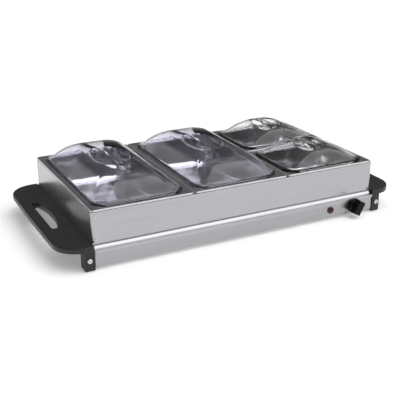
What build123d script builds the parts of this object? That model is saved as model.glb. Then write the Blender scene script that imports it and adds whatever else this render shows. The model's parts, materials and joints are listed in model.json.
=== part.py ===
"""Electric buffet server: a heated base, a lift-off pan frame, four pans and four clear lids.

Millimetres, +Z up, front towards -Y. The parts are laid out about the middle of the heated base,
and moved at the end so that the origin is under the middle of the whole object.
"""
from build123d import *
from math import radians, sin
import os

# ---- driving dimensions -----------------------------------------------------------------
FRAME_LENGTH = 580.0
FRAME_WIDTH = 322.0
FRAME_TOP = 101.0
PLATE_TOP = 36.0
SHEET = 1.0
FRAME_CORNER_R = 5.0
FRAME_LIP = 12.0
FLARE = 10.0
DIVIDER_WIDTH = 14.0
DIVIDER_DEPTH = 13.0

PAN_GAP = 1.0
PAN_SHEET = 0.8
PAN_RIM = 12.0
PAN_RIM_HEIGHT = 3.2
PAN_DEPTH = 63.0
PAN_TAPER = 5.0
PAN_CORNER_R = 28.0
PAN_BOTTOM_R = 12.0

LID_WALL = 2.3
LID_FLANGE_T = 2.2
LID_LIP_DEPTH = 4.0
LID_CLEARANCE = 1.5
LARGE_LID_INSET = 9.0
SMALL_LID_INSET = 6.0
LARGE_LID_RISE = 38.5
SMALL_LID_RISE = 30.0
LARGE_GRIP = (35.0, 56.0, 13.5)
SMALL_GRIP = (29.0, 35.0, 12.0)
GRIP_RIB = 18.0

PLATE_EDGE_Y = FRAME_WIDTH / 2 + FLARE
SHELL_Y = PLATE_EDGE_Y - 2.0
SHELL_X = FRAME_LENGTH / 2 - 1.0
SHELL_BOTTOM = 6.0
RIM_BOTTOM = 31.5
FOLD = 15.0
COVER_SCREW_R = 1.5
HANDLE_SCREW_R = 2.0
SHAFT_HOLE_R = 5.0
SHAFT_R = 3.0
COLLAR_R = 5.0
GLAND_NECK_R = 6.5

HANDLE_X = 351.0
HANDLE_INNER_X = FRAME_LENGTH / 2 + 0.2
HANDLE_TOP = 45.0
HANDLE_LIP = 9.5
HANDLE_WALL = 3.0
HANDLE_CORNER_R = 48.0
FOOT_X = 308.0
FOOT_DEPTH = 24.0
FOOT_BOTTOM = 1.5
PAD_LENGTH = 12.8
PAD_WIDTH = 17.8
PAD_HEIGHT = 3.0
TAB_Y = 152.0
TAB_HALF_HEIGHT = 8.0

CONTROL_Z = 20.5
KNOB_X = 247.0
KNOB_SKIRT_R = 14.5
KNOB_REACH = 20.0
LENS_X = 191.0
SCREW_X = 299.5
SCREW_Z = 20.0
CORD_X = 215.0
CORD_R = 3.6
GLAND_REACH = 12.0

FIT = 0.05


# ---- small helpers ----------------------------------------------------------------------
def block(x0, x1, y0, y1, z0, z1):
    """A box between two corners."""
    size = Box(x1 - x0, y1 - y0, z1 - z0, align=(Align.MIN, Align.MIN, Align.MIN))
    return Pos(x0, y0, z0) * size


def rod_z(x, y, z0, z1, r):
    """A round bar standing along Z."""
    return Pos(x, y, z0) * Cylinder(r, z1 - z0, align=(Align.CENTER, Align.CENTER, Align.MIN))


def rod_y(x, z, y0, y1, r):
    """A round bar lying along Y, from y0 to y1."""
    bar = Cylinder(r, y1 - y0, align=(Align.CENTER, Align.CENTER, Align.MIN))
    return Pos(x, y0, z) * Rot(-90, 0, 0) * bar


def slab(length, width, corner, z0, z1):
    """A plate with rounded corners, centred on the origin."""
    outline = RectangleRounded(length, width, corner)
    return Pos(0, 0, z0) * extrude(outline, z1 - z0)


def ring(length, width, corner, wall, z0, z1):
    """A rounded rectangular wall of even thickness."""
    hole = slab(length - 2 * wall, width - 2 * wall, corner - wall, z0 - 1, z1 + 1)
    return slab(length, width, corner, z0, z1) - hole


def group(shapes):
    """Several separate solids kept as one node."""
    return Compound(list(shapes))


def wire_tube(points, bend, r):
    """A round tube along straight runs joined by arcs of one radius."""
    path = FilletPolyline(*points, radius=bend)
    start = path.position_at(0)
    profile = Plane(origin=start, z_dir=path.tangent_at(0)) * Circle(r)
    return sweep(profile, path=path)


# ---- pan frame --------------------------------------------------------------------------
FRAME_X = FRAME_LENGTH / 2
FRAME_Y = FRAME_WIDTH / 2
COVE_R = FLARE - 0.5
COVE_Z = PLATE_TOP + SHEET + COVE_R
LIP_Y = FRAME_Y - FRAME_LIP
RIVET_X = FRAME_X - 7.0
RIVET_HEIGHTS = (COVE_Z + 5.0, FRAME_TOP - 8.0)


def frame_side_sheet():
    """The front sheet: rounded corners, an inward top lip and a flared foot."""
    wall = ring(FRAME_LENGTH, FRAME_WIDTH, FRAME_CORNER_R, SHEET, COVE_Z, FRAME_TOP)
    wall = wall & block(-FRAME_X, FRAME_X, -FRAME_Y, FRAME_CORNER_R - FRAME_Y, COVE_Z, FRAME_TOP)
    lip = slab(FRAME_LENGTH, FRAME_WIDTH, FRAME_CORNER_R, FRAME_TOP - SHEET, FRAME_TOP)
    lip = lip & block(-FRAME_X, FRAME_X, -FRAME_Y, -LIP_Y, FRAME_TOP - SHEET, FRAME_TOP)
    under_r = COVE_R + SHEET
    centre_y = -FRAME_Y - COVE_R
    slant = sin(radians(45))
    upper = ThreePointArc(
        (0, -FRAME_Y, COVE_Z),
        (0, centre_y + COVE_R * slant, COVE_Z - COVE_R * slant),
        (0, centre_y, COVE_Z - COVE_R),
    )
    lower = ThreePointArc(
        (0, centre_y, COVE_Z - under_r),
        (0, centre_y + under_r * slant, COVE_Z - under_r * slant),
        (0, centre_y + under_r, COVE_Z),
    )
    tip = Polyline(
        (0, centre_y, COVE_Z - COVE_R),
        (0, -PLATE_EDGE_Y, COVE_Z - COVE_R),
        (0, -PLATE_EDGE_Y, COVE_Z - under_r),
        (0, centre_y, COVE_Z - under_r),
    )
    top = Line((0, centre_y + under_r, COVE_Z), (0, -FRAME_Y, COVE_Z))
    section = make_face(Wire([*upper.edges(), *tip.edges(), *lower.edges(), *top.edges()]))
    flare = extrude(section, amount=FRAME_X, dir=(1, 0, 0), both=True)
    sheet = wall + lip + flare
    for side in (-1, 1):
        for z in RIVET_HEIGHTS:
            sheet = sheet - rod_y(side * RIVET_X, z, -FRAME_Y - 1, -FRAME_Y + 3, 1.5)
    return sheet


def frame_end_sheet():
    """The right-hand end sheet with its inward top lip."""
    reach = FRAME_Y - FRAME_CORNER_R - 0.05
    wall = block(FRAME_X - SHEET, FRAME_X, -reach, reach, PLATE_TOP, FRAME_TOP - SHEET)
    lip_reach = LIP_Y - 0.1
    lip = block(FRAME_X - FRAME_LIP, FRAME_X, -lip_reach, lip_reach, FRAME_TOP - SHEET, FRAME_TOP)
    return wall + lip


def corner_brackets():
    """Four angles inside the corners, which the sheets are riveted and welded to."""
    inner = ring(
        FRAME_LENGTH - 2 * SHEET - 0.02,
        FRAME_WIDTH - 2 * SHEET - 0.02,
        FRAME_CORNER_R - SHEET,
        SHEET,
        COVE_Z,
        FRAME_TOP - 3,
    )
    legs = []
    for sx in (-1, 1):
        for sy in (-1, 1):
            corner = Pos(sx * (FRAME_X - 9), sy * (FRAME_Y - 9), 70) * Box(18, 18, 80)
            leg = inner & corner
            for z in RIVET_HEIGHTS:
                leg = leg - rod_y(sx * RIVET_X, z, min(0, sy * FRAME_Y), max(0, sy * FRAME_Y), 1.5)
            legs.append(leg)
    return group(legs)


def frame_rivets():
    """Two rivets at each corner of the front and back sheets."""
    rivets = []
    for sx in (-1, 1):
        for sy in (-1, 1):
            for z in RIVET_HEIGHTS:
                outer = -FRAME_Y
                inner = -FRAME_Y + 2 * SHEET + 0.01
                rivet = rod_y(0, z, outer - 0.8, outer, 2.0)
                rivet = rivet + rod_y(0, z, outer, inner, 1.45)
                rivet = rivet + rod_y(0, z, inner, inner + 0.8, 2.0)
                head_edge = rivet.edges().filter_by(GeomType.CIRCLE).sort_by(Axis.Y)[0]
                rivet = fillet(head_edge, 0.6)
                turned = Rot(0, 0, 180) * rivet if sy > 0 else rivet
                rivets.append(Pos(sx * RIVET_X, 0, 0) * turned)
    return group(rivets)


def cross_divider():
    """A channel across the frame under the gap between two pans."""
    half = DIVIDER_WIDTH / 2
    reach = FRAME_Y - SHEET - 0.05
    web_reach = LIP_Y - 0.1
    channel = block(-half, half, -web_reach, web_reach, FRAME_TOP - SHEET, FRAME_TOP)
    bottom = FRAME_TOP - DIVIDER_DEPTH
    for x in (-half, half - SHEET):
        channel = channel + block(x, x + SHEET, -reach, reach, bottom, FRAME_TOP - SHEET)
    return channel


def small_pan_divider():
    """A short channel along the frame between the two small pans."""
    half = DIVIDER_WIDTH / 2
    start = FRAME_LENGTH / 6 + half + 0.1
    channel = block(start, FRAME_X - FRAME_LIP - 0.1, -half, half, FRAME_TOP - SHEET, FRAME_TOP)
    end = FRAME_X - SHEET - 0.05
    bottom = FRAME_TOP - DIVIDER_DEPTH
    for y in (-half, half - SHEET):
        channel = channel + block(start, end, y, y + SHEET, bottom, FRAME_TOP - SHEET)
    return channel


# ---- pans and lids ----------------------------------------------------------------------
PAN_LENGTH = FRAME_LENGTH / 3 - PAN_GAP
LARGE_PAN_WIDTH = FRAME_WIDTH - 3.0
SMALL_PAN_WIDTH = (LARGE_PAN_WIDTH - PAN_GAP) / 2
PAN_TOP = FRAME_TOP + PAN_RIM_HEIGHT
MIDDLE_X = FRAME_LENGTH / 3
SMALL_Y = (SMALL_PAN_WIDTH + PAN_GAP) / 2


def tapered_well(length, width, corner, bottom_r, z_top, depth):
    """A solid the shape of a pan's well: straight tapered sides and a rounded bottom edge."""
    outline = Plane.XY.offset(z_top) * RectangleRounded(length, width, corner)
    well = extrude(outline, amount=depth, dir=(0, 0, -1), taper=PAN_TAPER)
    bottom = well.faces().sort_by(Axis.Z)[0]
    return fillet(bottom.edges(), bottom_r)


def well_corner(width):
    """The corner radius of a pan's opening."""
    return min(PAN_CORNER_R, (width - 2 * PAN_RIM) / 5)


def pan(width):
    """A pan: a flat rim with a turned-down edge, and a tapered well."""
    rim = slab(PAN_LENGTH, width, 6.0, FRAME_TOP, PAN_TOP)
    hollow = slab(
        PAN_LENGTH - 2 * PAN_SHEET,
        width - 2 * PAN_SHEET,
        6.0 - PAN_SHEET,
        FRAME_TOP - 1,
        PAN_TOP - PAN_SHEET,
    )
    rim = rim - hollow
    top_edges = rim.edges().group_by(Axis.Z)[-1]
    rim = fillet(top_edges, 0.7)
    length_in = PAN_LENGTH - 2 * PAN_RIM
    width_in = width - 2 * PAN_RIM
    corner = well_corner(width)
    outer = tapered_well(length_in, width_in, corner, PAN_BOTTOM_R, PAN_TOP, PAN_DEPTH)
    inner = tapered_well(
        length_in - 2 * PAN_SHEET,
        width_in - 2 * PAN_SHEET,
        corner - PAN_SHEET,
        PAN_BOTTOM_R - PAN_SHEET,
        PAN_TOP,
        PAN_DEPTH - PAN_SHEET,
    )
    return rim + outer - inner


# Height of each section of a dome as a share of its rise, then its length and width as shares.
DOME_SECTIONS = (
    (0.0, 1.0, 1.0),
    (0.25, 0.885, 0.935),
    (0.5, 0.785, 0.875),
    (0.75, 0.65, 0.79),
    (0.91, 0.5, 0.69),
    (1.0, 0.3, 0.52),
)


def dome(length, width, corner, z0, rise):
    """The outer shape of a lid's dome: a low cushion lofted up from a rounded rectangle."""
    sections = []
    for height, along, across in DOME_SECTIONS:
        round_corner = min(corner, 0.42 * length * along)
        outline = RectangleRounded(length * along, width * across, round_corner)
        sections.append(Pos(0, 0, z0 + rise * height) * outline)
    return loft(sections)


def bowl(half_x, half_y, depth, z_top):
    """An ellipsoid about a point on a lid's top, with its seam along Y."""
    ball = Rot(0, 0, 90) * Sphere(1.0)
    return Pos(0, 0, z_top) * scale(ball, by=(half_x, half_y, depth))


def lid(width, inset, rise, grip):
    """A clear lid: flange, locating lip, dome and a pinch grip sunk into its top."""
    flange_length = PAN_LENGTH - 2 * inset
    flange_width = width - 2 * inset
    seat = PAN_TOP
    corner = well_corner(width) - LID_CLEARANCE
    length_out = PAN_LENGTH - 2 * PAN_RIM - 2 * LID_CLEARANCE
    width_out = width - 2 * PAN_RIM - 2 * LID_CLEARANCE
    length_in = length_out - 2 * LID_WALL
    width_in = width_out - 2 * LID_WALL
    flange = slab(flange_length, flange_width, corner + 5.0, seat, seat + LID_FLANGE_T)
    lip = slab(length_out, width_out, corner, seat - LID_LIP_DEPTH, seat + 0.5)
    outer = dome(length_out, width_out, corner, seat, rise)
    inner = dome(length_in, width_in, corner - LID_WALL, seat, rise - LID_WALL)
    opening = slab(length_in, width_in, corner - LID_WALL, seat - LID_LIP_DEPTH - 1, seat)
    shell = flange + lip + outer - inner - opening
    grip_x, grip_y, grip_depth = grip
    top = seat + rise
    cup = bowl(grip_x + LID_WALL, grip_y + LID_WALL, grip_depth + LID_WALL, top)
    shell = shell + (cup & outer)
    scoop = bowl(grip_x, grip_y, grip_depth, top)
    reach = 2 * grip_y
    for x0, x1 in ((GRIP_RIB / 2, reach), (-reach, -GRIP_RIB / 2)):
        side = block(x0, x1, -reach, reach, seat, top + grip_depth)
        shell = shell - (scoop & side)
    return shell


# ---- heated base ------------------------------------------------------------------------
def warming_plate():
    """The stainless hotplate: a flat top with a turned-down rim along all four edges."""
    x = FRAME_X - 1.0
    plate = block(-x, x, -PLATE_EDGE_Y, PLATE_EDGE_Y, PLATE_TOP - SHEET, PLATE_TOP)
    for y in (-PLATE_EDGE_Y, PLATE_EDGE_Y - SHEET):
        plate = plate + block(-x, x, y, y + SHEET, RIM_BOTTOM, PLATE_TOP - SHEET)
    edge = [e for e in plate.edges().filter_by(Axis.X) if abs(e.center().Y) > PLATE_EDGE_Y - 0.1]
    corner = [e for e in edge if e.center().Z > PLATE_TOP - 0.1]
    return fillet(corner, 0.6)


def base_shell():
    """The lower housing: four walls, with folded lips above and below."""
    top = PLATE_TOP - SHEET
    shell = block(-SHELL_X, SHELL_X, -SHELL_Y, SHELL_Y, SHELL_BOTTOM, top)
    inner_x = SHELL_X - SHEET
    inner_y = SHELL_Y - SHEET
    shell = shell - block(-inner_x, inner_x, -inner_y, inner_y, SHELL_BOTTOM - 1, top + 1)
    opening = Rectangle(2 * (inner_x - FOLD), 2 * (inner_y - FOLD))
    for z in (SHELL_BOTTOM, top - SHEET):
        lip = extrude(Rectangle(2 * inner_x, 2 * inner_y) - opening, SHEET)
        shell = shell + Pos(0, 0, z) * lip
    for x, y in cover_screw_places():
        shell = shell - rod_z(x, y, SHELL_BOTTOM - 1, SHELL_BOTTOM + SHEET + 1, COVER_SCREW_R + FIT)
    front = -SHELL_Y
    shell = shell - rod_y(KNOB_X, CONTROL_Z, front - 1, front + 3, SHAFT_HOLE_R + FIT)
    shell = shell - rod_y(LENS_X, CONTROL_Z, front - 1, front + 3, COLLAR_R + FIT)
    return shell - rod_y(CORD_X, CONTROL_Z, -front - 3, -front + 1, GLAND_NECK_R + FIT)


def handle_brackets():
    """Four angles welded to the base's end walls, which the handles' feet are screwed to."""
    low = SCREW_Z - TAB_HALF_HEIGHT
    high = SCREW_Z + TAB_HALF_HEIGHT
    brackets = []
    for turn in (0, 180):
        for side in (-1, 1):
            tab_y = sorted((side * TAB_Y, side * (TAB_Y + SHEET)))
            weld_y = sorted((side * (TAB_Y - 12), side * TAB_Y))
            angle = block(SHELL_X, FOOT_X - 2, *tab_y, low, high)
            angle = angle + block(SHELL_X, SHELL_X + SHEET, *weld_y, low, high)
            screw_y = (min(tab_y) - 1, max(tab_y) + 1)
            angle = angle - rod_y(SCREW_X, SCREW_Z, *screw_y, HANDLE_SCREW_R + FIT)
            brackets.append(Rot(0, 0, turn) * angle)
    return group(brackets)


def cover_screw_places():
    """Centres of the bottom cover's screws."""
    return [(x, y) for x in (-222, 0, 222) for y in (-160, 160)]


def bottom_cover():
    """The sheet that closes the base from below, with rows of vent slots."""
    cover = block(1 - SHELL_X, SHELL_X - 1, 1 - SHELL_Y, SHELL_Y - 1, SHELL_BOTTOM - SHEET, SHELL_BOTTOM)
    slot = extrude(SlotOverall(34, 4), 3)
    for row in (-90, 90):
        for column in range(-4, 5):
            cover = cover - Pos(column * 50, row, SHELL_BOTTOM - 2) * Rot(0, 0, 90) * slot
    for x, y in cover_screw_places():
        cover = cover - rod_z(x, y, SHELL_BOTTOM - 2, SHELL_BOTTOM + 1, COVER_SCREW_R + FIT)
    return cover


def bottom_screws():
    """Pan-head screws that hold the bottom cover."""
    screws = []
    under = SHELL_BOTTOM - SHEET
    for x, y in cover_screw_places():
        screw = rod_z(x, y, under - 2.0, under, 3.2) + rod_z(x, y, under, under + 8, COVER_SCREW_R)
        recess = Box(3.2, 0.8, 2.4) + Box(0.8, 3.2, 2.4)
        screws.append(screw - Pos(x, y, under - 2.0) * recess)
    return group(screws)


def heat_spreader():
    """An aluminium plate that carries the element's heat to the whole warming plate."""
    return slab(540, 272, 8, PLATE_TOP - SHEET - 2, PLATE_TOP - SHEET)


ELEMENT_R = 3.3
ELEMENT_Z = PLATE_TOP - SHEET - 2 - ELEMENT_R
ELEMENT_ROWS = (-100.0, -60.0, -20.0, 20.0, 60.0, 100.0)
ELEMENT_X = 240.0


def heating_element():
    """A sheathed heating tube bent to and fro in six runs."""
    points = []
    for i, y in enumerate(ELEMENT_ROWS):
        ends = (ELEMENT_X, -ELEMENT_X) if i % 2 == 0 else (-ELEMENT_X, ELEMENT_X)
        points.append((ends[0], y, ELEMENT_Z))
        points.append((ends[1], y, ELEMENT_Z))
    return wire_tube(points, 19.0, ELEMENT_R)


def element_clamps():
    """Saddles that press the element against the spreader."""
    clamps = []
    z_top = PLATE_TOP - SHEET - 2
    for y in ELEMENT_ROWS:
        for x in (-150, 0, 150):
            saddle = block(x - 7, x + 7, y - 12, y + 12, ELEMENT_Z - ELEMENT_R - 1.5, z_top)
            saddle = saddle - block(x - 8, x + 8, y - 13, y - 5, ELEMENT_Z - 8, z_top - 1.2)
            saddle = saddle - block(x - 8, x + 8, y + 5, y + 13, ELEMENT_Z - 8, z_top - 1.2)
            bore = Pos(x, y, ELEMENT_Z) * Rot(0, 90, 0) * Cylinder(ELEMENT_R + FIT, 20)
            slot = block(x - 8, x + 8, y - ELEMENT_R - FIT, y + ELEMENT_R + FIT, ELEMENT_Z, z_top + 1)
            saddle = saddle - bore - slot
            clamps.append(saddle)
    return group(clamps)


SHIELD_X = 262.0
SHIELD_Y = 118.0
SHIELD_Z = 12.0


def heat_shield():
    """A shallow tray under the element that keeps its heat off the bottom cover."""
    tray = block(-SHIELD_X, SHIELD_X, -SHIELD_Y, SHIELD_Y, SHIELD_Z, PLATE_TOP - SHEET - 2)
    tray = tray - block(
        1 - SHIELD_X, SHIELD_X - 1, 1 - SHIELD_Y, SHIELD_Y - 1, SHIELD_Z + 1, PLATE_TOP
    )
    return tray


def insulation_pad():
    """A glass-fibre blanket lying in the heat shield."""
    return slab(2 * SHIELD_X - 6, 2 * SHIELD_Y - 6, 4, SHIELD_Z + 1, SHIELD_Z + 10)


THERMOSTAT_Y = -SHELL_Y + 8.0


def thermostat_body():
    """The capillary-free thermostat behind the knob, with two blade terminals."""
    half = 12.0
    back = THERMOSTAT_Y + 18
    body = block(KNOB_X - half, KNOB_X + half, THERMOSTAT_Y, back, CONTROL_Z - 11, CONTROL_Z + 11)
    body = fillet(body.edges().filter_by(Axis.Y), 2.0)
    for way in (-6, 6):
        x = KNOB_X + way
        body = body + block(x - 3.1, x + 3.1, back, back + 8, CONTROL_Z, CONTROL_Z + 0.8)
    return body - rod_y(KNOB_X, CONTROL_Z, THERMOSTAT_Y - 1, THERMOSTAT_Y + 9, SHAFT_R + FIT)


def thermostat_bracket():
    """The plate that holds the thermostat to the front panel, with a folded foot."""
    y = THERMOSTAT_Y - 1.2
    front = -SHELL_Y + SHEET
    plate = block(KNOB_X - 18, KNOB_X + 18, y, THERMOSTAT_Y, CONTROL_Z - 12, CONTROL_Z + 12)
    for x in (KNOB_X - 18, KNOB_X + 16.8):
        plate = plate + block(x, x + 1.2, front, y + 1.2, CONTROL_Z - 12, CONTROL_Z + 12)
    return plate - rod_y(KNOB_X, CONTROL_Z, y - 1, THERMOSTAT_Y + 1, 3.4)


SHAFT_FRONT = -SHELL_Y - 15


def thermostat_shaft():
    """The thermostat's spindle with the flat that drives the knob."""
    front = SHAFT_FRONT
    shaft = rod_y(KNOB_X, CONTROL_Z, front, THERMOSTAT_Y + 8, SHAFT_R)
    return shaft - block(KNOB_X - 4, KNOB_X + 4, front - 1, front + 9, CONTROL_Z + 2, CONTROL_Z + 4)


KNOB_TURN = 28.0


def control_knob():
    """A round skirt with a square-ended bar to turn it by, just clear of the plate's rim."""
    back = -PLATE_EDGE_Y - 0.4
    front = -SHELL_Y - KNOB_REACH
    skirt = rod_y(0, 0, back - 6, back, KNOB_SKIRT_R)
    rim = skirt.edges().filter_by(GeomType.CIRCLE).sort_by(Axis.Y)[0]
    skirt = chamfer(rim, 2.5)
    bar = block(-8.0, 8.0, front, back - 3, -13.5, 13.5)
    bar = fillet(bar.edges().filter_by(Axis.Z), 1.5)
    bar = Rot(0, KNOB_TURN, 0) * bar
    bore = rod_y(0, 0, SHAFT_FRONT - 0.5, back + 1, SHAFT_R + FIT)
    flat = block(-4, 4, SHAFT_FRONT - 0.5, SHAFT_FRONT + 9, 2.0 + FIT, 4)
    knob = skirt + bar - (bore - flat)
    return Pos(KNOB_X, 0, CONTROL_Z) * knob


def indicator_bezel():
    """The black ring that the lens snaps into, with its collar behind the panel."""
    front = -SHELL_Y
    ring_out = rod_y(LENS_X, CONTROL_Z, front - 1.5, front, 6.8)
    collar = rod_y(LENS_X, CONTROL_Z, front, front + 7, COLLAR_R)
    return ring_out + collar - rod_y(LENS_X, CONTROL_Z, front - 3, front + 8, 4.4 + FIT)


def indicator_lens():
    """The red lens: a domed front over a hollow stem."""
    front = -SHELL_Y
    dome_r = 8.0
    stem = rod_y(LENS_X, CONTROL_Z, front - 1.5, front + 8, 4.4)
    cap = rod_y(LENS_X, CONTROL_Z, front - 3.0, front - 1.5, 5.8)
    ball = Pos(LENS_X, front - 3.4 + dome_r, CONTROL_Z) * Sphere(dome_r)
    return (cap & ball) + stem - rod_y(LENS_X, CONTROL_Z, front + 0.5, front + 9, 3.4)


def indicator_lamp():
    """The neon glow lamp in the lens, with its two leads."""
    front = -SHELL_Y
    glass = rod_y(LENS_X, CONTROL_Z, front + 1.5, front + 14, 2.8)
    for x in (-1.2, 1.2):
        glass = glass + rod_y(LENS_X + x, CONTROL_Z, front + 14, front + 24, 0.4)
    return glass


def thermal_fuse():
    """The one-shot thermal fuse in its sleeve, with its leads."""
    y = -SHIELD_Y - 12
    fuse = Pos(120, y, 30) * Rot(0, 90, 0) * Cylinder(2.4, 14)
    leads = Pos(120, y, 30) * Rot(0, 90, 0) * Cylinder(0.5, 44)
    return fuse + leads


TERMINAL_X = CORD_X - 40
TERMINAL_Y = SHELL_Y - 34


def terminal_block():
    """A three-way screw terminal block near the cord's entry."""
    x, y = TERMINAL_X, TERMINAL_Y
    body = block(x - 16, x + 16, y, y + 16, SHELL_BOTTOM + SHEET, SHELL_BOTTOM + 14)
    for way in (-10, 0, 10):
        body = body - rod_z(x + way, y + 8, SHELL_BOTTOM + 8, SHELL_BOTTOM + 15, 2.2)
        body = body - rod_y(x + way, SHELL_BOTTOM + 6, y - 1, y + 17, 1.7)
    return body


def wiring_routes():
    """Runs of the leads from the terminal block to the thermostat and to the lamp."""
    start_y = TERMINAL_Y - 0.5
    z = SHELL_BOTTOM + 6
    lamp_end = (LENS_X + 1.2, -SHELL_Y + 24.5)
    thermostat_end = (KNOB_X - 6, THERMOSTAT_Y + 26.5)
    routes = []
    leads = ((TERMINAL_X, lamp_end), (TERMINAL_X + 10, thermostat_end))
    for lane, (start_x, end) in enumerate(leads):
        back_y = start_y - 8 + 4 * lane
        aisle_x = SHIELD_X + 9 + 4 * lane
        front_y = -SHIELD_Y - 6 - 4 * lane
        corners = [(start_x, back_y), (aisle_x, back_y), (aisle_x, front_y), (end[0], front_y)]
        plan = [(start_x, start_y), *corners, end]
        routes.append([(x, y, z) for x, y in plan])
    return routes


def internal_wiring():
    """The leads as round wires with gentle bends."""
    return group([wire_tube(route, 1.8, 1.1) for route in wiring_routes()])


def earth_screw():
    """The earthing screw with its star washer and nut, inside the back wall."""
    y = SHELL_Y - 16
    screw = rod_z(CORD_X + 32, y, SHELL_BOTTOM + SHEET, SHELL_BOTTOM + 12, 2.0)
    nut = Pos(CORD_X + 32, y, SHELL_BOTTOM + SHEET) * extrude(RegularPolygon(4.0, 6), 3.2)
    washer = rod_z(CORD_X + 32, y, SHELL_BOTTOM + SHEET + 3.2, SHELL_BOTTOM + SHEET + 4.0, 4.4)
    return screw + nut + washer


def cord_gland():
    """The flanged bush in the back panel that the supply cord passes through."""
    back = SHELL_Y
    gland = rod_y(CORD_X, CONTROL_Z, back, back + GLAND_REACH, 8.5)
    outer_rim = gland.edges().filter_by(GeomType.CIRCLE).sort_by(Axis.Y)[-1]
    gland = chamfer(outer_rim, 4.0, 3.0)
    gland = gland + rod_y(CORD_X, CONTROL_Z, back - 12, back + 1, GLAND_NECK_R)
    return gland - rod_y(CORD_X, CONTROL_Z, back - 13, back + GLAND_REACH + 1, CORD_R)


# ---- handles ----------------------------------------------------------------------------
SLOT_HALF = 67.0
SLOT_OUTER_X = 331.0
SLOT_END_X = 321.0
SLOT_INNER_X = 310.0


def handle_outline(grow):
    """The plate's outline in plan: a slightly bowed outer edge and large rounded corners."""
    y = PLATE_EDGE_Y + grow
    x = HANDLE_X + grow
    bow = ThreePointArc((x - 2.5, -y), (x, 0), (x - 2.5, y))
    sides = Polyline((x - 2.5, y), (HANDLE_INNER_X, y), (HANDLE_INNER_X, -y), (x - 2.5, -y))
    outline = make_face(Wire([*bow.edges(), *sides.edges()]))
    corners = outline.vertices().sort_by(Axis.X)[-2:]
    return fillet(corners, HANDLE_CORNER_R + grow)


def slot_outline(grow):
    """The hand slot: straight on its outer side and bowed on its inner side."""
    y = SLOT_HALF + grow
    outer = SLOT_OUTER_X + grow
    end = SLOT_END_X - grow
    bow = ThreePointArc((end, -y), (SLOT_INNER_X - grow, 0), (end, y))
    sides = Polyline((end, y), (outer, y), (outer, -y), (end, -y))
    outline = make_face(Wire([*bow.edges(), *sides.edges()]))
    return fillet(outline.vertices(), 4.0 + grow)


def handle_plate():
    """The top plate with its turned-down lip and the wall around the hand slot."""
    underside = HANDLE_TOP - HANDLE_LIP
    plate = Pos(0, 0, underside) * extrude(handle_outline(0), HANDLE_LIP)
    top_edges = plate.edges().filter_by(lambda e: abs(e.center().Z - HANDLE_TOP) < 0.01)
    rounded = [e for e in top_edges if e.center().X > HANDLE_INNER_X + 1]
    plate = fillet(rounded, 2.0)
    hollow_depth = HANDLE_LIP - HANDLE_WALL + 1
    hollow = Pos(0, 0, underside - 1) * extrude(handle_outline(-HANDLE_WALL), hollow_depth)
    collar = Pos(0, 0, underside) * extrude(slot_outline(HANDLE_WALL - 0.5), HANDLE_LIP - 1)
    return plate - hollow + collar


def handle_foot(side):
    """One foot, with the slit that the base's bracket enters, the screw bore and the pad's pocket."""
    outer = side * PLATE_EDGE_Y
    inner = side * (PLATE_EDGE_Y - FOOT_DEPTH)
    foot = block(
        HANDLE_INNER_X, FOOT_X, min(outer, inner), max(outer, inner), FOOT_BOTTOM, HANDLE_TOP - 1
    )
    tall = [e for e in foot.edges().filter_by(Axis.Z) if e.center().X > FOOT_X - 1]
    return fillet(tall, 2.0)


def foot_cuts(side):
    """What is cut out of a foot: bracket slit, screw bore and pad pocket."""
    slit_y = sorted((side * (TAB_Y - 0.1), side * (TAB_Y + SHEET + 0.1)))
    slit_z = (SCREW_Z - TAB_HALF_HEIGHT - 0.1, SCREW_Z + TAB_HALF_HEIGHT + 0.1)
    slit = block(HANDLE_INNER_X - 1, FOOT_X - 1.5, *slit_y, *slit_z)
    bore_y = sorted((side * (PLATE_EDGE_Y - 23), side * (PLATE_EDGE_Y + 1)))
    bore = rod_y(SCREW_X, SCREW_Z, *bore_y, HANDLE_SCREW_R + FIT)
    middle = side * (PLATE_EDGE_Y - FOOT_DEPTH / 2)
    pocket_size = (PAD_LENGTH + 0.2, PAD_WIDTH + 0.2, 2 * (PAD_HEIGHT - FOOT_BOTTOM))
    pocket = Pos(SCREW_X, middle, FOOT_BOTTOM) * Box(*pocket_size)
    return slit + bore + pocket


def handle():
    """The right-hand moulding: plate, lip, hand slot, end wall and two feet."""
    wall_x = HANDLE_INNER_X + HANDLE_WALL
    wall_y = SHELL_Y - 1
    moulding = handle_plate()
    moulding = moulding + block(
        HANDLE_INNER_X, wall_x, -wall_y, wall_y, SHELL_BOTTOM + 2, HANDLE_TOP - 1
    )
    for side in (-1, 1):
        moulding = moulding + handle_foot(side) - foot_cuts(side)
    slot = Pos(0, 0, HANDLE_TOP - HANDLE_LIP - 1) * extrude(slot_outline(0), HANDLE_LIP + 2)
    return moulding - slot


def foot_pads():
    """Rubber pads let into the four feet."""
    pads = []
    middle = PLATE_EDGE_Y - FOOT_DEPTH / 2
    for x in (-SCREW_X, SCREW_X):
        for y in (-middle, middle):
            pads.append(Pos(x, y, PAD_HEIGHT / 2) * Box(PAD_LENGTH, PAD_WIDTH, PAD_HEIGHT))
    return group(pads)


def handle_screws():
    """Cross-head screws, front and back, that hold the feet to the base's tabs."""
    screws = []
    face = -PLATE_EDGE_Y
    for side in (-1, 1):
        for turn in (0, 180):
            head = rod_y(0, SCREW_Z, face - 2.2, face, 4.5)
            rim = head.edges().filter_by(GeomType.CIRCLE).sort_by(Axis.Y)[0]
            head = fillet(rim, 1.2)
            screw = head + rod_y(0, SCREW_Z, face, face + 22, HANDLE_SCREW_R)
            recess = Box(4.6, 3.0, 1.1) + Box(1.1, 3.0, 4.6)
            screw = screw - Pos(0, face - 2.2, SCREW_Z) * recess
            screws.append(Pos(side * SCREW_X, 0, 0) * (Rot(0, 0, turn) * screw))
    return group(screws)


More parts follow.
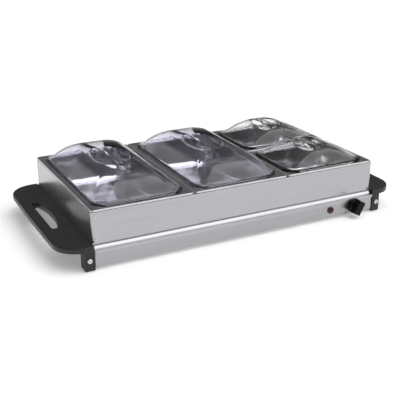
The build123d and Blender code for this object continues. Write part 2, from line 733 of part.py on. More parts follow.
# ---- the whole object -------------------------------------------------------------------
def all_nodes():
    """Every separate piece under its own name."""
    end = frame_end_sheet()
    side = frame_side_sheet()
    right = handle()
    nodes = {
        "base_shell": base_shell(),
        "handle_brackets": handle_brackets(),
        "bottom_cover": bottom_cover(),
        "bottom_screws": bottom_screws(),
        "warming_plate": warming_plate(),
        "heat_spreader": heat_spreader(),
        "heating_element": heating_element(),
        "element_clamps": element_clamps(),
        "insulation_pad": insulation_pad(),
        "heat_shield": heat_shield(),
        "thermostat_body": thermostat_body(),
        "thermostat_bracket": thermostat_bracket(),
        "thermal_fuse": thermal_fuse(),
        "terminal_block": terminal_block(),
        "internal_wiring": internal_wiring(),
        "earth_screw": earth_screw(),
        "indicator_bezel": indicator_bezel(),
        "indicator_lens": indicator_lens(),
        "indicator_lamp": indicator_lamp(),
        "cord_gland": cord_gland(),
        "right_handle": right,
        "left_handle": mirror(right, about=Plane.YZ),
        "handle_screws": handle_screws(),
        "foot_pads": foot_pads(),
        "control_knob": control_knob(),
        "thermostat_shaft": thermostat_shaft(),
        "frame_front": side,
        "frame_back": Rot(0, 0, 180) * side,
        "frame_right_end": end,
        "frame_left_end": Rot(0, 0, 180) * end,
        "frame_corner_brackets": corner_brackets(),
        "frame_rivets": frame_rivets(),
        "divider_left": Pos(-MIDDLE_X / 2, 0, 0) * cross_divider(),
        "divider_right": Pos(MIDDLE_X / 2, 0, 0) * cross_divider(),
        "divider_small": small_pan_divider(),
    }
    large_pan = pan(LARGE_PAN_WIDTH)
    small_pan = pan(SMALL_PAN_WIDTH)
    large_lid = lid(LARGE_PAN_WIDTH, LARGE_LID_INSET, LARGE_LID_RISE, LARGE_GRIP)
    small_lid = lid(SMALL_PAN_WIDTH, SMALL_LID_INSET, SMALL_LID_RISE, SMALL_GRIP)
    places = {
        "left": (-MIDDLE_X, 0),
        "middle": (0, 0),
        "front": (MIDDLE_X, -SMALL_Y),
        "back": (MIDDLE_X, SMALL_Y),
    }
    for name, (x, y) in places.items():
        large = name in ("left", "middle")
        size = "large" if large else "small"
        nodes[f"{size}_pan_{name}"] = Pos(x, y, 0) * (large_pan if large else small_pan)
        nodes[f"{size}_lid_{name}"] = Pos(x, y, 0) * (large_lid if large else small_lid)
    return nodes


FRONT_REACH = SHELL_Y + KNOB_REACH
BACK_REACH = SHELL_Y + GLAND_REACH
ORIGIN_SHIFT = (FRONT_REACH - BACK_REACH) / 2


def main():
    os.makedirs("parts", exist_ok=True)
    for name, shape in all_nodes().items():
        export_step(Pos(0, ORIGIN_SHIFT, 0) * shape, f"parts/{name}.step")


main()
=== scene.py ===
"""Looks of the electric buffet server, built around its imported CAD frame. Metres, +Z up."""

import bpy
import json
import math
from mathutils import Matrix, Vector


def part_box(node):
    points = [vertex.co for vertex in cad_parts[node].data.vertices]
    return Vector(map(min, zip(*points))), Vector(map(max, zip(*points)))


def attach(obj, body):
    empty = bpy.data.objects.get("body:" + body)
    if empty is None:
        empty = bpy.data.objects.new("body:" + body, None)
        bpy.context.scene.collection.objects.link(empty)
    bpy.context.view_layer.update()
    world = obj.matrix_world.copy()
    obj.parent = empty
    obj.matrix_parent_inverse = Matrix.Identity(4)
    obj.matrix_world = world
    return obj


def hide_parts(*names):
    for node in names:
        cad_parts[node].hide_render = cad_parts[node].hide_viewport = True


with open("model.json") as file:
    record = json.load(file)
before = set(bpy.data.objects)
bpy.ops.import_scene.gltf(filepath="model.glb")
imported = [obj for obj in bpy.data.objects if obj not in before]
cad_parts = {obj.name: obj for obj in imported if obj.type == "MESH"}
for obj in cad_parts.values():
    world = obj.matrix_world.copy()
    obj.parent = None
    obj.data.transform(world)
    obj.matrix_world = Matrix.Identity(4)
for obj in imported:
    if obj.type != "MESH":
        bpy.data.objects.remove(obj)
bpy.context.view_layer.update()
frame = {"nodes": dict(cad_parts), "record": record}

MM = 0.001
TOUCH = 0.00001

# ---- camera, light and floor --------------------------------------------------------------
CAMERA_PLACE = (-0.66758, -1.29288, 0.58986)
CAMERA_FORWARD = (0.4228, 0.8291, -0.3658)
CAMERA_LENS = 70.03
CAMERA_SENSOR = 36
CAMERA_NEAR = 0.05
SUN_TILT = (math.radians(-6), math.radians(11), 0)
SUN_ANGLE = math.radians(60)
SUN_POWER = 0.55
FLOOR_SIZE = 16
FLOOR_DROP = 0.0002
FLOOR_GLOW = 0.27

# Height of a direction, and the studio's brightness there.
STUDIO_GREYS = (
    (0.0, 0.60),
    (0.06, 0.42),
    (0.17, 0.22),
    (0.31, 0.15),
    (0.50, 0.13),
    (0.70, 0.32),
    (1.0, 0.38),
)

# Direction, cosines of the outer edge and of the bright core, and brightness.
SOFT_PATCHES = (
    ((0.42, -0.40, 0.82), 0.79, 0.93, 1.85),
    ((0.90, 0.10, 0.42), 0.94, 0.99, 0.85),
    ((-0.42, 0.80, 0.42), 0.95, 0.993, 0.6),
)


def add_camera():
    """The view from the front left corner, looking down on the lids."""
    turn = Vector(CAMERA_FORWARD).to_track_quat("-Z", "Y").to_euler()
    bpy.ops.object.camera_add(location=CAMERA_PLACE, rotation=turn)
    camera = bpy.context.object
    camera.name = "camera"
    camera.data.lens = CAMERA_LENS
    camera.data.sensor_width = CAMERA_SENSOR
    camera.data.clip_start = CAMERA_NEAR
    bpy.context.scene.camera = camera


def add_lights():
    """A broad overhead light that shiny surfaces don't mirror."""
    bpy.ops.object.light_add(type="SUN", rotation=SUN_TILT)
    sun = bpy.context.object
    sun.name = "overhead_light"
    sun.data.angle = SUN_ANGLE
    sun.data.energy = SUN_POWER
    sun.visible_glossy = False


def soft_patch(nodes, links, coords, patch):
    """A bright, soft-edged patch of the studio, around a direction."""
    direction, edge, core, brightness = patch
    dot = nodes.new("ShaderNodeVectorMath")
    fade = nodes.new("ShaderNodeMapRange")
    dot.operation = "DOT_PRODUCT"
    dot.inputs[1].default_value = Vector(direction).normalized()
    fade.interpolation_type = "SMOOTHSTEP"
    fade.inputs["From Min"].default_value = edge
    fade.inputs["From Max"].default_value = core
    fade.inputs["To Max"].default_value = brightness
    links.new(coords.outputs["Generated"], dot.inputs[0])
    links.new(dot.outputs["Value"], fade.inputs["Value"])
    return fade.outputs["Result"]


def studio_ramp(nodes):
    """The studio's brightness from the horizon up."""
    ramp = nodes.new("ShaderNodeValToRGB")
    first, *between, last = STUDIO_GREYS
    for stop, (height, grey) in zip(ramp.color_ramp.elements, (first, last)):
        stop.position = height
        stop.color = (grey, grey, grey, 1)
    for height, grey in between:
        stop = ramp.color_ramp.elements.new(height)
        stop.color = (grey, grey, grey, 1)
    return ramp


def studio_world():
    """A dim studio, pale low down, with soft lights overhead, at the right and behind."""
    world = bpy.data.worlds.new("studio")
    bpy.context.scene.world = world
    world.use_nodes = True
    nodes = world.node_tree.nodes
    links = world.node_tree.links
    coords = nodes.new("ShaderNodeTexCoord")
    split = nodes.new("ShaderNodeSeparateXYZ")
    ramp = studio_ramp(nodes)
    links.new(coords.outputs["Generated"], split.inputs["Vector"])
    links.new(split.outputs["Z"], ramp.inputs["Fac"])
    total = ramp.outputs["Color"]
    for patch in SOFT_PATCHES:
        add = nodes.new("ShaderNodeMath")
        links.new(total, add.inputs[0])
        links.new(soft_patch(nodes, links, coords, patch), add.inputs[1])
        total = add.outputs["Value"]
    nodes["Background"].inputs["Color"].default_value = (1, 1, 1, 1)
    links.new(total, nodes["Background"].inputs["Strength"])


# ---- materials ----------------------------------------------------------------------------
NOISE_LOW = 0.3
NOISE_HIGH = 0.7
ALONG_X = (8, 900, 2600)
BRUSH_DEPTH = 0.00002
TURNED_GRAIN = 400.0
TURNED_DEPTH = 0.00001
PLASTIC_IOR = 1.5
PLASTIC_GRAIN = 1800.0
PLASTIC_DEPTH = 0.00005
WAVE_DEPTH = 0.0014
LID_IOR = 1.38
LID_FLOW_DEPTH = 0.0004
FACET_DEPTH = 0.0001


def new_material(name):
    """A node material with its Principled shader."""
    material = bpy.data.materials.new(name)
    material.use_nodes = True
    shader = material.node_tree.nodes["Principled BSDF"]
    return material, shader


def noise(material, scale, detail=2.0, stretch=(1, 1, 1)):
    """Noise in object coordinates; stretch scales it along each axis."""
    nodes = material.node_tree.nodes
    links = material.node_tree.links
    coords = nodes.new("ShaderNodeTexCoord")
    mapping = nodes.new("ShaderNodeMapping")
    texture = nodes.new("ShaderNodeTexNoise")
    mapping.inputs["Scale"].default_value = stretch
    texture.inputs["Scale"].default_value = scale
    texture.inputs["Detail"].default_value = detail
    links.new(coords.outputs["Object"], mapping.inputs["Vector"])
    links.new(mapping.outputs["Vector"], texture.inputs["Vector"])
    return texture.outputs["Fac"]


def spread(material, value, low, high):
    """The middle range of a noise, spread out between two values."""
    node = material.node_tree.nodes.new("ShaderNodeMapRange")
    node.inputs["From Min"].default_value = NOISE_LOW
    node.inputs["From Max"].default_value = NOISE_HIGH
    node.inputs["To Min"].default_value = low
    node.inputs["To Max"].default_value = high
    material.node_tree.links.new(value, node.inputs["Value"])
    return node.outputs["Result"]


def tones(material, shader, value, dark, light):
    """The base colour, moving between two tones with a value."""
    ramp = material.node_tree.nodes.new("ShaderNodeValToRGB")
    ramp.color_ramp.elements[0].position = NOISE_LOW
    ramp.color_ramp.elements[0].color = (*dark, 1)
    ramp.color_ramp.elements[1].position = NOISE_HIGH
    ramp.color_ramp.elements[1].color = (*light, 1)
    material.node_tree.links.new(value, ramp.inputs["Fac"])
    material.node_tree.links.new(ramp.outputs["Color"], shader.inputs["Base Color"])


def relief(material, shader, value, height):
    """Bumps of a real height in metres."""
    bump = material.node_tree.nodes.new("ShaderNodeBump")
    bump.inputs["Distance"].default_value = height
    bump.inputs["Strength"].default_value = 1.0
    material.node_tree.links.new(value, bump.inputs["Height"])
    material.node_tree.links.new(bump.outputs["Normal"], shader.inputs["Normal"])


def rough(material, shader, value, low, high):
    """Roughness that varies between two values."""
    material.node_tree.links.new(spread(material, value, low, high), shader.inputs["Roughness"])


def brushed_steel(name, dark, light, roughness, grain=ALONG_X):
    """Stainless sheet with a fine brushed grain and faint handling marks."""
    material, shader = new_material(name)
    shader.inputs["Metallic"].default_value = 1.0
    lines = noise(material, 1.0, 3.0, grain)
    marks = noise(material, 14.0, 3.0)
    tones(material, shader, lines, dark, light)
    rough(material, shader, marks, roughness[0], roughness[1])
    relief(material, shader, lines, BRUSH_DEPTH)
    return material


def drawn_steel(name):
    """Polished stainless steel, pressed: mirror bright with faint waves and handling marks."""
    material, shader = new_material(name)
    shader.inputs["Metallic"].default_value = 1.0
    waves = noise(material, 22.0, 1.0)
    marks = noise(material, 30.0, 4.0)
    tones(material, shader, marks, (0.56, 0.56, 0.58), (0.66, 0.66, 0.68))
    rough(material, shader, marks, 0.09, 0.15)
    relief(material, shader, waves, WAVE_DEPTH)
    return material


def plain_metal(name, dark, light, roughness):
    """Small turned or rolled metal parts."""
    material, shader = new_material(name)
    shader.inputs["Metallic"].default_value = 1.0
    marks = noise(material, TURNED_GRAIN, 3.0)
    tones(material, shader, marks, dark, light)
    rough(material, shader, marks, roughness, roughness + 0.15)
    relief(material, shader, marks, TURNED_DEPTH)
    return material


def grained_plastic(name, dark, light, roughness, shine=0.5):
    """Moulded plastic with a fine spark-eroded grain."""
    material, shader = new_material(name)
    shader.inputs["IOR"].default_value = PLASTIC_IOR
    shader.inputs["Specular IOR Level"].default_value = shine
    fine = noise(material, PLASTIC_GRAIN, 2.0)
    patches = noise(material, 35.0, 3.0)
    tones(material, shader, patches, dark, light)
    rough(material, shader, patches, roughness, roughness + 0.08)
    relief(material, shader, fine, PLASTIC_DEPTH)
    return material


def soft_matter(name, dark, light, roughness, grain, depth):
    """Rubber, sleeve or fleece: matte, with a coarse texture."""
    material, shader = new_material(name)
    fibres = noise(material, grain, 5.0)
    tones(material, shader, fibres, dark, light)
    rough(material, shader, fibres, roughness, min(1.0, roughness + 0.15))
    relief(material, shader, fibres, depth)
    return material


def clear_plastic(name, tint, haze):
    """Clear moulded plastic that lets the light through to what is under it."""
    material, shader = new_material(name)
    nodes = material.node_tree.nodes
    links = material.node_tree.links
    shader.inputs["Base Color"].default_value = (*tint, 1)
    shader.inputs["IOR"].default_value = LID_IOR
    shader.inputs["Transmission Weight"].default_value = 1.0
    smears = noise(material, 40.0, 4.0)
    flow = noise(material, 18.0, 1.0)
    rough(material, shader, smears, haze, haze + 0.03)
    relief(material, shader, flow, LID_FLOW_DEPTH)
    clear = nodes.new("ShaderNodeBsdfTransparent")
    clear.inputs["Color"].default_value = (*tint, 1)
    path = nodes.new("ShaderNodeLightPath")
    mix = nodes.new("ShaderNodeMixShader")
    links.new(path.outputs["Is Shadow Ray"], mix.inputs["Fac"])
    links.new(shader.outputs["BSDF"], mix.inputs[1])
    links.new(clear.outputs["BSDF"], mix.inputs[2])
    links.new(mix.outputs["Shader"], nodes["Material Output"].inputs["Surface"])
    return material


def lens_plastic():
    """The pilot lamp's deep red lens, with faint moulded facets inside."""
    material, shader = new_material("lens_red")
    facets = noise(material, 700.0, 1.0)
    tones(material, shader, facets, (0.02, 0.002, 0.006), (0.10, 0.008, 0.02))
    shader.inputs["Roughness"].default_value = 0.12
    shader.inputs["Specular IOR Level"].default_value = 0.3
    relief(material, shader, facets, FACET_DEPTH)
    return material


def floor_finish():
    """Smooth pale paper that gives off a little light."""
    material, shader = new_material("studio_paper")
    fibres = noise(material, 300.0, 3.0)
    tones(material, shader, fibres, (0.93, 0.93, 0.93), (0.95, 0.95, 0.95))
    shader.inputs["Roughness"].default_value = 0.75
    shader.inputs["Specular IOR Level"].default_value = 0.2
    shader.inputs["Emission Color"].default_value = (1, 1, 1, 1)
    shader.inputs["Emission Strength"].default_value = FLOOR_GLOW
    return material


def steels():
    """Sheet, turned and pressed metal, by slot."""
    steel = ((0.42, 0.42, 0.435), (0.49, 0.49, 0.505))
    # The housing's tones are darker than the upper sheet's as painted shade: the lower panel
    # mirrors the shaded floor close under it.
    housing_painted_shade = ((0.37, 0.37, 0.385), (0.43, 0.43, 0.445))
    dull = ((0.40, 0.41, 0.42), (0.55, 0.56, 0.57))
    aluminium = ((0.72, 0.73, 0.74), (0.8, 0.81, 0.82))
    oxide = ((0.16, 0.13, 0.12), (0.33, 0.29, 0.25))
    return {
        "housing_steel": brushed_steel("housing_steel", *housing_painted_shade, (0.30, 0.34)),
        "plate_steel": brushed_steel("plate_steel", *steel, (0.28, 0.32)),
        "frame_steel": brushed_steel("frame_steel", *steel, (0.24, 0.28)),
        "inner_steel": brushed_steel("inner_steel", *dull, (0.35, 0.5), (40, 40, 900)),
        "rivet_steel": plain_metal("rivet_steel", (0.58, 0.58, 0.6), (0.7, 0.7, 0.71), 0.2),
        "screw_steel": plain_metal("screw_steel", (0.62, 0.62, 0.63), (0.75, 0.75, 0.76), 0.15),
        "shaft_steel": plain_metal("shaft_steel", (0.5, 0.5, 0.5), (0.6, 0.6, 0.6), 0.3),
        "pan_steel": drawn_steel("pan_steel"),
        "spreader_aluminium": brushed_steel("spreader_aluminium", *aluminium, (0.4, 0.5)),
        "element_sheath": plain_metal("element_sheath", *oxide, 0.45),
        "fuse_metal": plain_metal("fuse_metal", (0.6, 0.6, 0.56), (0.72, 0.72, 0.68), 0.3),
        "brass_screw": plain_metal("brass_screw", (0.62, 0.45, 0.2), (0.76, 0.6, 0.32), 0.25),
    }


def plastics():
    """Moulded plastic, by slot."""
    bakelite = ((0.12, 0.08, 0.06), (0.18, 0.13, 0.1))
    cream = ((0.78, 0.77, 0.72), (0.86, 0.85, 0.81))
    black = ((0.012, 0.012, 0.012), (0.02, 0.02, 0.02))
    handle = ((0.008, 0.008, 0.009), (0.013, 0.013, 0.014))
    knob = ((0.004, 0.004, 0.0045), (0.008, 0.008, 0.0085))
    return {
        "thermostat_plastic": grained_plastic("thermostat_plastic", *bakelite, 0.4),
        "terminal_plastic": grained_plastic("terminal_plastic", *cream, 0.45),
        "black_plastic": grained_plastic("black_plastic", *black, 0.3),
        "handle_plastic": grained_plastic("handle_plastic", *handle, 0.40),
        "knob_plastic": grained_plastic("knob_plastic", *knob, 0.42, 0.15),
    }


def soft_parts():
    """Rubber, sleeving and fleece, by slot."""
    fleece = ((0.74, 0.71, 0.62), (0.88, 0.86, 0.8))
    sleeve = ((0.05, 0.05, 0.05), (0.1, 0.1, 0.11))
    foot = ((0.015, 0.015, 0.015), (0.03, 0.03, 0.03))
    gland = ((0.016, 0.016, 0.016), (0.03, 0.03, 0.03))
    return {
        "glass_fibre": soft_matter("glass_fibre", *fleece, 0.85, 500.0, 0.0006),
        "wire_sleeve": soft_matter("wire_sleeve", *sleeve, 0.5, 900, 0.00002),
        "foot_rubber": soft_matter("foot_rubber", *foot, 0.75, 700, 0.00006),
        "gland_rubber": soft_matter("gland_rubber", *gland, 0.6, 700, 0.00005),
    }


def clear_parts():
    """The lens, the lamp and the lids, by slot."""
    return {
        "lens_red": lens_plastic(),
        "lamp_glass": clear_plastic("lamp_glass", (0.95, 0.8, 0.7), 0.02),
        "large_lid_clear": clear_plastic("large_lid_clear", (0.93, 0.925, 0.985), 0.0),
        "small_lid_clear": clear_plastic("small_lid_clear", (0.965, 0.965, 0.97), 0.0),
    }


def all_finishes():
    """Every finish by the name of its material slot."""
    return {**steels(), **plastics(), **soft_parts(), **clear_parts()}


# ---- modelling helpers --------------------------------------------------------------------
CORNER_SEGMENTS = 11


def deselect():
    """Leaves nothing selected."""
    bpy.ops.object.select_all(action="DESELECT")


def pick(piece):
    """Selects one piece and makes it active."""
    deselect()
    piece.select_set(True)
    bpy.context.view_layer.objects.active = piece


def mark(piece, mode, test):
    """Selects the vertices, edges or faces whose points all pass a test, and opens edit mode."""
    pick(piece)
    mesh = piece.data
    for part in (mesh.vertices, mesh.edges, mesh.polygons):
        part.foreach_set("select", [False] * len(part))
    parts = {"VERT": mesh.vertices, "EDGE": mesh.edges, "FACE": mesh.polygons}[mode]
    for part in parts:
        points = [part.co] if mode == "VERT" else [mesh.vertices[i].co for i in part.vertices]
        if test(points):
            part.select = True
            if mode != "VERT":
                for i in part.vertices:
                    mesh.vertices[i].select = True
    modes = (mode == "VERT", mode == "EDGE", mode == "FACE")
    bpy.context.tool_settings.mesh_select_mode = modes
    bpy.ops.object.mode_set(mode="EDIT")


def done():
    """Back to object mode."""
    bpy.ops.object.mode_set(mode="OBJECT")


def settle():
    """Moves the active object's place, turn and scale into its mesh."""
    bpy.ops.object.transform_apply(location=True, rotation=True, scale=True)


def delete_faces(piece, test):
    """Removes the faces whose points all pass a test, and keeps their edges."""
    mark(piece, "FACE", test)
    bpy.ops.mesh.delete(type="ONLY_FACE")
    done()


def rounded_sheet(name, lo, hi, z, corner):
    """A flat face with rounded corners, between two corners in plan."""
    middle = ((lo[0] + hi[0]) / 2, (lo[1] + hi[1]) / 2, z)
    deselect()
    bpy.ops.mesh.primitive_plane_add(size=1, location=middle)
    sheet = bpy.context.object
    sheet.name = name
    sheet.data.name = name
    sheet.scale = (hi[0] - lo[0], hi[1] - lo[1], 1)
    settle()
    mark(sheet, "VERT", lambda points: True)
    bpy.ops.mesh.bevel(offset=corner, segments=CORNER_SEGMENTS, affect="VERTICES")
    done()
    return sheet


def step_in(across, rise):
    """One loop inwards and up or down, from the selected face."""
    bpy.ops.mesh.inset(thickness=across, depth=rise)


def lift(rise, ratio=(1, 1), middle=(0, 0, 0)):
    """Extrudes the selected face straight up, then scales it about a point."""
    bpy.ops.mesh.extrude_region_move(TRANSFORM_OT_translate={"value": (0, 0, rise)})
    bpy.ops.transform.resize(value=(ratio[0], ratio[1], 1), center_override=middle)


def weld(piece, others):
    """Joins other pieces into one and merges the points that meet."""
    pick(piece)
    for other in others:
        other.select_set(True)
    bpy.ops.object.join()
    mark(piece, "VERT", lambda points: True)
    bpy.ops.mesh.remove_doubles(threshold=TOUCH)
    done()


def faces_per_edge(mesh):
    """How many faces meet at each edge."""
    counts = {}
    for face in mesh.polygons:
        for key in face.edge_keys:
            counts[key] = counts.get(key, 0) + 1
    return counts


def mark_open(piece, test):
    """Selects the open edges whose points pass a test, and opens edit mode."""
    mark(piece, "EDGE", lambda points: False)
    done()
    mesh = piece.data
    counts = faces_per_edge(mesh)
    for edge in mesh.edges:
        points = [mesh.vertices[i].co for i in edge.vertices]
        if counts.get(edge.key, 0) < 2 and test(points):
            edge.select = True
            for i in edge.vertices:
                mesh.vertices[i].select = True
    bpy.ops.object.mode_set(mode="EDIT")


def bridge_open(piece, test):
    """Bridges the open loops whose points pass a test."""
    mark_open(piece, test)
    bpy.ops.mesh.bridge_edge_loops()
    done()


def finish_mesh(piece, angle):
    """Points the faces outwards and smooths all but sharp edges."""
    mark(piece, "FACE", lambda points: True)
    bpy.ops.mesh.normals_make_consistent(inside=False)
    done()
    pick(piece)
    bpy.ops.object.shade_smooth_by_angle(angle=math.radians(angle))


def apply_weighted_normals(piece):
    """Lets the large flat faces decide the shading at their edges."""
    pick(piece)
    modifier = piece.modifiers.new("weighted", "WEIGHTED_NORMAL")
    modifier.keep_sharp = True
    bpy.ops.object.modifier_apply(modifier=modifier.name)


def dress(piece, body, slot, *nodes):
    """Gives a finished piece its body, finish and the CAD nodes that it stands for."""
    piece.data.materials.clear()
    piece.data.materials.append(FINISHES[slot])
    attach(piece, body)
    if nodes:
        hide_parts(*nodes)


# ---- pans ---------------------------------------------------------------------------------
RIM_WIDTH = 12 * MM
RIM_DROP = 3.2 * MM
RIM_CORNER_R = 6 * MM
RIM_EDGE_R = 1.2 * MM
RIM_EDGE_STEPS = 4
RIM_MARGIN = 0.3 * MM
WELL_REACH = 2.3 * MM
WELL_START = 0.02 * MM
PAN_SHEET = 0.8 * MM
WELL_TAPER = math.radians(5)
WELL_TOP_R = 2.5 * MM
WELL_BOTTOM_R = 11.2 * MM
EDGE_STEPS = 5
BOTTOM_STEPS = 10
FLOOR_MARGIN = 0.4 * MM
FLOOR_BORDER = 5.0 * MM
FLOOR_STEP = 1.1 * MM
FLOOR_RISE = ((0.5, 0.15), (0.7, 0.8), (0.5, 0.15))
LARGE_PAN_CORNER = 28 * MM
SMALL_PAN_CORNER = 27 * MM


def well_steps(depth):
    """Loops of a well from its rounded top edge to its floor, as steps inwards and down."""
    steepest = math.pi / 2 - WELL_TAPER
    points = [(0.0, 0.0)]
    for i in range(1, EDGE_STEPS + 1):
        angle = steepest * i / EDGE_STEPS
        points.append((WELL_TOP_R * math.sin(angle), WELL_TOP_R * (1 - math.cos(angle))))
    drop = depth - (WELL_TOP_R + WELL_BOTTOM_R) * (1 - math.cos(steepest))
    wall_in, wall_down = points[-1]
    for share in (0.03, 0.97, 1.0):
        points.append((wall_in + share * drop * math.tan(WELL_TAPER), wall_down + share * drop))
    start_in, start_down = points[-1]
    for i in range(1, BOTTOM_STEPS + 1):
        angle = steepest * (1 - i / BOTTOM_STEPS)
        across = WELL_BOTTOM_R * (math.sin(steepest) - math.sin(angle))
        down = WELL_BOTTOM_R * (math.cos(angle) - math.cos(steepest))
        points.append((start_in + across, start_down + down))
    return [(b[0] - a[0], b[1] - a[1]) for a, b in zip(points, points[1:])]


def pan_rim(name, lo, hi):
    """The flat rim with its rolled-down edge, open in the middle."""
    rim = rounded_sheet(f"{name}_pressed", lo, hi, hi.z - RIM_DROP, RIM_CORNER_R)
    mark(rim, "FACE", lambda points: True)
    lift(RIM_DROP - RIM_EDGE_R)
    turn = math.pi / 2 / RIM_EDGE_STEPS
    for i in range(RIM_EDGE_STEPS):
        a = turn * i
        b = turn * (i + 1)
        across = RIM_EDGE_R * (math.cos(a) - math.cos(b))
        step_in(across, RIM_EDGE_R * (math.sin(b) - math.sin(a)))
    step_in(RIM_MARGIN, 0)
    done()
    delete_faces(rim, lambda points: len(points) > 8)
    return rim


def pan_well(lo, hi, corner):
    """The tapered well, from just under the rim to a floor with a raised middle."""
    start = RIM_WIDTH + PAN_SHEET - WELL_REACH
    inset = Vector((start, start, 0))
    well = rounded_sheet("well", lo + inset, hi - inset, hi.z - WELL_START, corner)
    mark(well, "FACE", lambda points: True)
    step_in(RIM_MARGIN, 0)
    for across, down in well_steps(hi.z - lo.z - PAN_SHEET):
        step_in(across, -down)
    step_in(FLOOR_MARGIN, 0)
    step_in(FLOOR_BORDER, 0)
    for across, up in FLOOR_RISE:
        step_in(across * MM, up * FLOOR_STEP)
    step_in(FLOOR_MARGIN, 0)
    done()
    return well


def thicken(piece, thickness):
    """Gives an open skin its sheet thickness, downwards and outwards."""
    pick(piece)
    wall = piece.modifiers.new("sheet", "SOLIDIFY")
    wall.thickness = thickness
    wall.offset = -1
    wall.use_even_offset = True
    bpy.ops.object.modifier_apply(modifier=wall.name)


def make_pan(name, corner):
    """A pressed pan: a rim with a rolled-down edge, a tapered well and a stepped floor."""
    lo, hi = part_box(name)
    pan = pan_rim(name, lo, hi)
    weld(pan, [pan_well(lo, hi, corner)])
    top = hi.z - 0.03 * MM
    bridge_open(pan, lambda points: all(p.z > top for p in points))
    thicken(pan, PAN_SHEET)
    finish_mesh(pan, 50)
    apply_weighted_normals(pan)
    dress(pan, name, "pan_steel", name)


# ---- lids ---------------------------------------------------------------------------------
LID_WALL = 2.3 * MM
LID_LIP = 4 * MM
RING_RISE = 0.1 * MM
FLANGE_T = 2.2 * MM
OVAL_POINTS = 44
SCOOP_STEPS = 7
SCOOP_FLOOR = 0.6
SOFT_EDGE = 0.5 * MM
FLANGE_EXTRA_R = 5 * MM
DOME_MARGIN = 1 * MM
DOME_START = 0.3 * MM
LAST_DOME_LEVEL = 0.95
CORNER_SHARE = 0.9
GRIP_LEVEL = 0.985
GRIP_EDGE = 1.0 * MM
DOME_HEIGHTS = (0.0, 0.03, 0.08, 0.15, 0.24, 0.34, 0.45, 0.56, 0.67, 0.77, 0.86, 0.93)


def dome_share(height, bend, fullness):
    """Half the dome's size at a height, as a share of half its size at the flange."""
    return (1 - height ** bend) ** (1 / fullness)


def grip_oval(middle, z, half, rib, depth):
    """The oval in a lid's crown, with a scoop on each side of the rib."""
    deselect()
    bpy.ops.mesh.primitive_circle_add(
        vertices=OVAL_POINTS, radius=1, fill_type="NGON", location=(*middle, z)
    )
    oval = bpy.context.object
    oval.scale = (half[0], half[1], 1)
    settle()
    for side in (-1, 1):
        edge = middle[0] + side * rib
        mark(oval, "FACE", lambda points: True)
        place = (edge, middle[1], z)
        bpy.ops.mesh.bisect(plane_co=place, plane_no=(1, 0, 0), threshold=TOUCH)
        done()
    for side in (-1, 1):
        edge = middle[0] + side * rib
        mark(oval, "FACE", lambda points: is_scoop(points, edge, side))
        for i in range(SCOOP_STEPS):
            a = math.pi / 2 * i / (SCOOP_STEPS + SCOOP_FLOOR)
            b = math.pi / 2 * (i + 1) / (SCOOP_STEPS + SCOOP_FLOOR)
            ratio = math.cos(b) / math.cos(a)
            drop = depth * (math.sin(b) - math.sin(a))
            lift(-drop, (ratio, ratio), (edge, middle[1], z))
        done()
    return oval


def is_scoop(points, edge, side):
    """True for a face that lies wholly outside one edge of the rib."""
    return all(side * (p.x - edge) > -TOUCH for p in points)


def lid_ring(name, middle, ring):
    """One rounded rectangular loop of a lid's skin, with no face in it."""
    x, y, z, corner = ring
    lo = (middle[0] - x, middle[1] - y)
    hi = (middle[0] + x, middle[1] + y)
    loop = rounded_sheet(name, lo, hi, z, corner)
    delete_faces(loop, lambda points: True)
    return loop


def lid_skin(name, middle, rings, oval):
    """One skin of a lid, bridged ring by ring from the lip's edge to the grip's oval."""
    skin = lid_ring(name, middle, rings[0])
    foot = rings[0][2] + TOUCH
    loops = [lid_ring("ring", middle, ring) for ring in rings[1:]] + [oval]
    for number, loop in enumerate(loops):
        weld(skin, [loop])
        bridge_open(skin, lambda points: number == 0 or points[0].z > foot)
    return skin


def soften_grip(skin, middle, z, half, rib):
    """Rounds the edges where the scoops meet the crown and the rib."""
    def on_edge(points):
        if any(abs(p.z - z) > TOUCH for p in points):
            return False
        across = [abs(p.x - middle[0]) for p in points]
        within = all(abs(p.y - middle[1]) < half[1] and a < half[0] + 10 * TOUCH
                     for p, a in zip(points, across))
        on_rib = all(abs(a - rib) < 2 * TOUCH for a in across)
        return within and (on_rib or max(across) > rib + 2 * TOUCH)
    mark(skin, "EDGE", on_edge)
    bpy.ops.mesh.bevel(offset=GRIP_EDGE, segments=3, affect="EDGES")
    done()


def dome_rings(half, z0, top, bends, corner):
    """Rings of a dome from the flange up to the ring around the grip."""
    rings = []
    for height in DOME_HEIGHTS:
        x = half[0] * dome_share(height, bends[0], bends[1])
        y = half[1] * dome_share(height, bends[2], bends[3])
        level = height if height < DOME_HEIGHTS[-1] else LAST_DOME_LEVEL
        rounding = min(corner, CORNER_SHARE * x, CORNER_SHARE * y)
        rings.append((x, y, z0 + (top - z0) * level, rounding))
    return rings


def outer_rings(lo, hi, lip, corner, bends):
    """Rings of a lid's outer skin: the locating lip, the flange and the dome."""
    x, y = (hi.x - lo.x) / 2, (hi.y - lo.y) / 2
    seat = lo.z + LID_LIP
    flange_top = seat + FLANGE_T
    edge = corner + FLANGE_EXTRA_R
    soft = SOFT_EDGE
    rings = [
        (lip[0], lip[1], lo.z, corner),
        (lip[0], lip[1], seat, corner),
        (x - soft, y - soft, seat + RING_RISE, edge - soft),
        (x, y, seat + soft, edge),
        (x, y, flange_top - soft, edge),
        (x - soft, y - soft, flange_top, edge - soft),
        (lip[0] + DOME_MARGIN, lip[1] + DOME_MARGIN, flange_top + RING_RISE, corner + DOME_MARGIN),
    ]
    return rings + dome_rings(lip, flange_top + DOME_START, hi.z, bends, corner)


def inner_rings(lo, hi, lip, corner, bends):
    """Rings of a lid's lining, one wall inside the outer skin."""
    half = (lip[0] - LID_WALL, lip[1] - LID_WALL)
    rounding = corner - LID_WALL
    rings = [(half[0], half[1], lo.z, rounding)]
    return rings + dome_rings(half, lo.z + LID_LIP, hi.z - LID_WALL, bends, rounding)


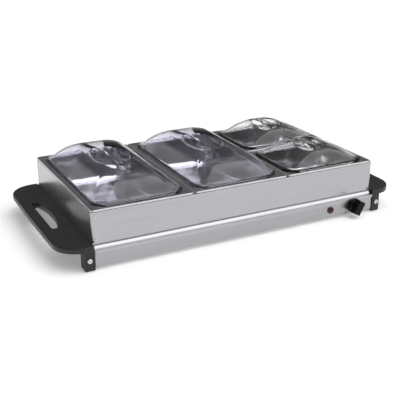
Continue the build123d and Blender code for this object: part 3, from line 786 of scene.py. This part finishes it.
def lid_lining(middle, rings, level, grip):
    """The lid's inner skin, turned to face inwards."""
    half, rib, depth = grip
    cup = (half[0] + LID_WALL, half[1] + LID_WALL)
    oval = grip_oval(middle, level - LID_WALL, cup, rib - LID_WALL, depth)
    lining = lid_skin("lining", middle, rings, oval)
    mark(lining, "FACE", lambda points: True)
    bpy.ops.mesh.flip_normals()
    done()
    return lining


def make_lid(name, corner, bends, grip, slot):
    """A clear lid with a flange, a locating lip, a domed crown and a sunk pinch grip."""
    lo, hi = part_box(name)
    middle = ((lo.x + hi.x) / 2, (lo.y + hi.y) / 2)
    lip = LIP_HALF[slot]
    half, rib, depth = grip
    flange_top = lo.z + LID_LIP + FLANGE_T
    level = flange_top + (hi.z - flange_top) * GRIP_LEVEL
    oval = grip_oval(middle, level, half, rib, depth)
    lid = lid_skin(f"{name}_clear", middle, outer_rings(lo, hi, lip, corner, bends), oval)
    soften_grip(lid, middle, level, half, rib)
    weld(lid, [lid_lining(middle, inner_rings(lo, hi, lip, corner, bends), level, grip)])
    bridge_open(lid, lambda points: all(p.z < lo.z + TOUCH for p in points))
    finish_mesh(lid, 60)
    dress(lid, name, slot, name)


LIP_HALF = {
    "large_lid_clear": (82.67 * MM, 146.0 * MM),
    "small_lid_clear": (82.67 * MM, 66.0 * MM),
}
LARGE_LID_CORNER = 26.5 * MM
SMALL_LID_CORNER = 25.5 * MM
LARGE_BENDS = (0.67, 4.33, 0.75, 7.13)
SMALL_BENDS = (0.75, 3.0, 0.6, 7.4)
LARGE_GRIP = ((35 * MM, 56 * MM), 9 * MM, 13.5 * MM)
SMALL_GRIP = ((29 * MM, 35 * MM), 9 * MM, 12 * MM)


def make_pans_and_lids():
    """Two large and two small pans, each under its lid."""
    for place in ("left", "middle"):
        make_pan(f"large_pan_{place}", LARGE_PAN_CORNER)
        lid = f"large_lid_{place}"
        make_lid(lid, LARGE_LID_CORNER, LARGE_BENDS, LARGE_GRIP, "large_lid_clear")
    for place in ("front", "back"):
        make_pan(f"small_pan_{place}", SMALL_PAN_CORNER)
        lid = f"small_lid_{place}"
        make_lid(lid, SMALL_LID_CORNER, SMALL_BENDS, SMALL_GRIP, "small_lid_clear")


# ---- the panel's dial mark ----------------------------------------------------------------
MARK_X = 228.4 * MM
MARK_Z = 9.5 * MM
MARK_R = 2.6 * MM
MARK_T = 0.12 * MM
MARK_EDGE_R = 0.4 * MM


def make_dial_mark():
    """The small solid triangle printed on the panel beside the knob."""
    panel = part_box("base_shell")[0].y
    deselect()
    bpy.ops.mesh.primitive_circle_add(
        vertices=3, radius=MARK_R, fill_type="NGON", rotation=(math.pi / 2, 0, 0),
        location=(MARK_X, panel + MARK_T / 4, MARK_Z),
    )
    printed = bpy.context.object
    printed.name = "dial_mark"
    printed.data.name = "dial_mark"
    settle()
    mark(printed, "VERT", lambda points: True)
    bpy.ops.mesh.bevel(offset=MARK_EDGE_R, segments=3, affect="VERTICES")
    done()
    mark(printed, "FACE", lambda points: True)
    bpy.ops.mesh.extrude_region_move(TRANSFORM_OT_translate={"value": (0, -MARK_T, 0)})
    done()
    finish_mesh(printed, 40)
    dress(printed, "base", "black_plastic")


# ---- the whole scene ----------------------------------------------------------------------
def dress_cad_nodes():
    """Every CAD node that stays gets the finish of its slot."""
    for part in frame["record"]["subparts"]:
        node = frame["nodes"][part["node"]]
        node.data.materials.clear()
        node.data.materials.append(FINISHES[part["material_slot"]])


def make_floor():
    """A wide sheet of paper under the object."""
    deselect()
    bpy.ops.mesh.primitive_plane_add(size=FLOOR_SIZE, location=(0, 0, -FLOOR_DROP))
    floor = bpy.context.object
    floor.name = "studio_floor"
    settle()
    floor.data.materials.append(floor_finish())


bpy.context.scene.view_settings.view_transform = "Standard"
add_camera()
studio_world()
add_lights()
FINISHES = all_finishes()
dress_cad_nodes()
make_floor()
make_pans_and_lids()
make_dial_mark()
